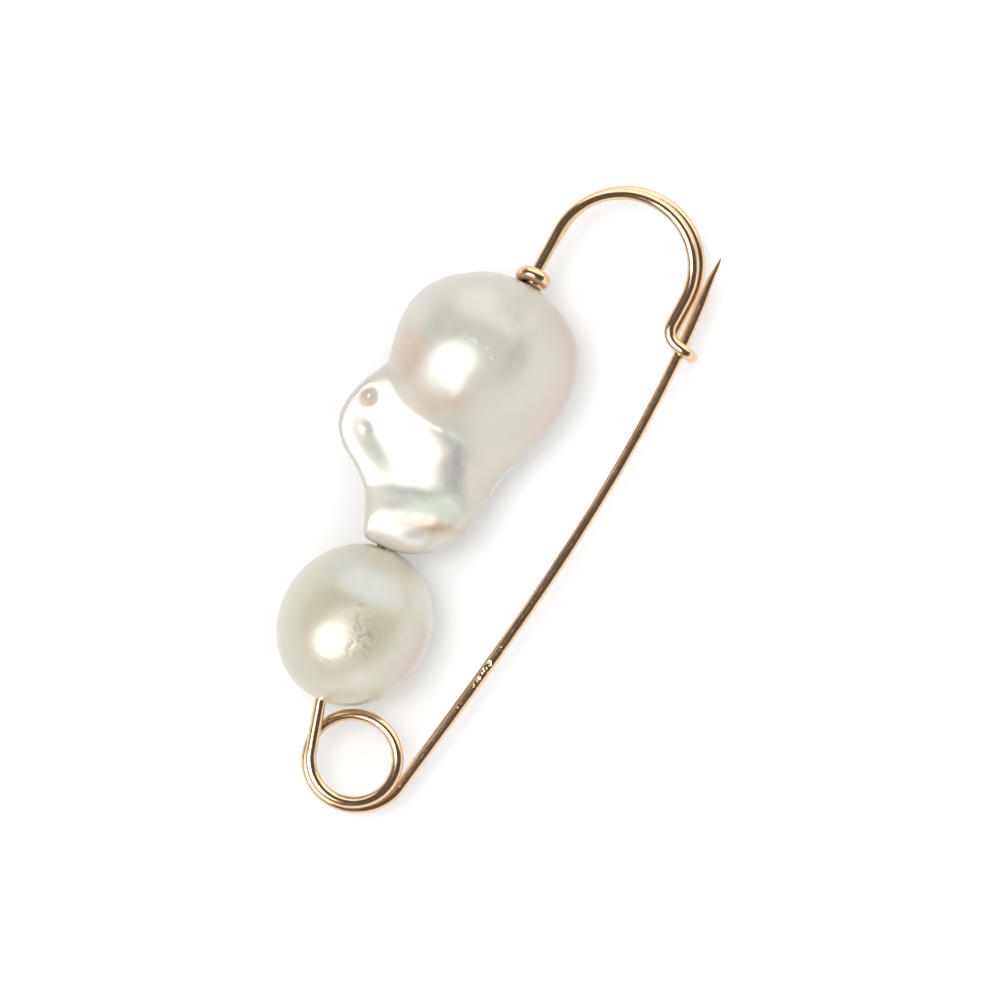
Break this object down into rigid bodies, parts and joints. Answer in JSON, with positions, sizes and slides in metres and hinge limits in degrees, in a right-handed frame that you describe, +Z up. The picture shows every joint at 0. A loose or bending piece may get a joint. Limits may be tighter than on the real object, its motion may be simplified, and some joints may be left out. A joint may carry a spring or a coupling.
{
  "type": "safety-pin brooch with pearls",
  "caption": "Safety-pin brooch of bent gold wire, with a baroque pearl and a round pearl on its stem, a coil spring and a hook that holds the bowed pin.",
  "frame": {"origin": "centre of the box, on the surface that the brooch lies on", "axes": "+Y from the coil to the bow, along the stem and the pin; +X from the pearls to the pin arm; +Z up, away from the surface"},
  "size_m": [0.0246, 0.0593, 0.0136],
  "materials": {
    "gold": "polished 14 carat yellow gold wire with fine drawing marks",
    "nacre": "lustrous white pearl nacre with pink and green overtones"
  },
  "bodies": {
    "frame": {"stem": "gold", "bow": "gold", "collar_wrap": "gold", "coil": "gold", "baroque_pearl": "nacre", "round_pearl": "nacre"},
    "pin": {"pin_arm": "gold"}
  },
  "joints": [
    {"name": "pin_swing", "type": "hinge", "parent": "frame", "child": "pin", "pos_m": [0.00285, -0.02511, 0.00524], "axis": [0, 0, 1], "range_deg": [0, 8], "stiffness_Nm_per_rad": 0.13, "springref_deg": -9.74}
  ]
}
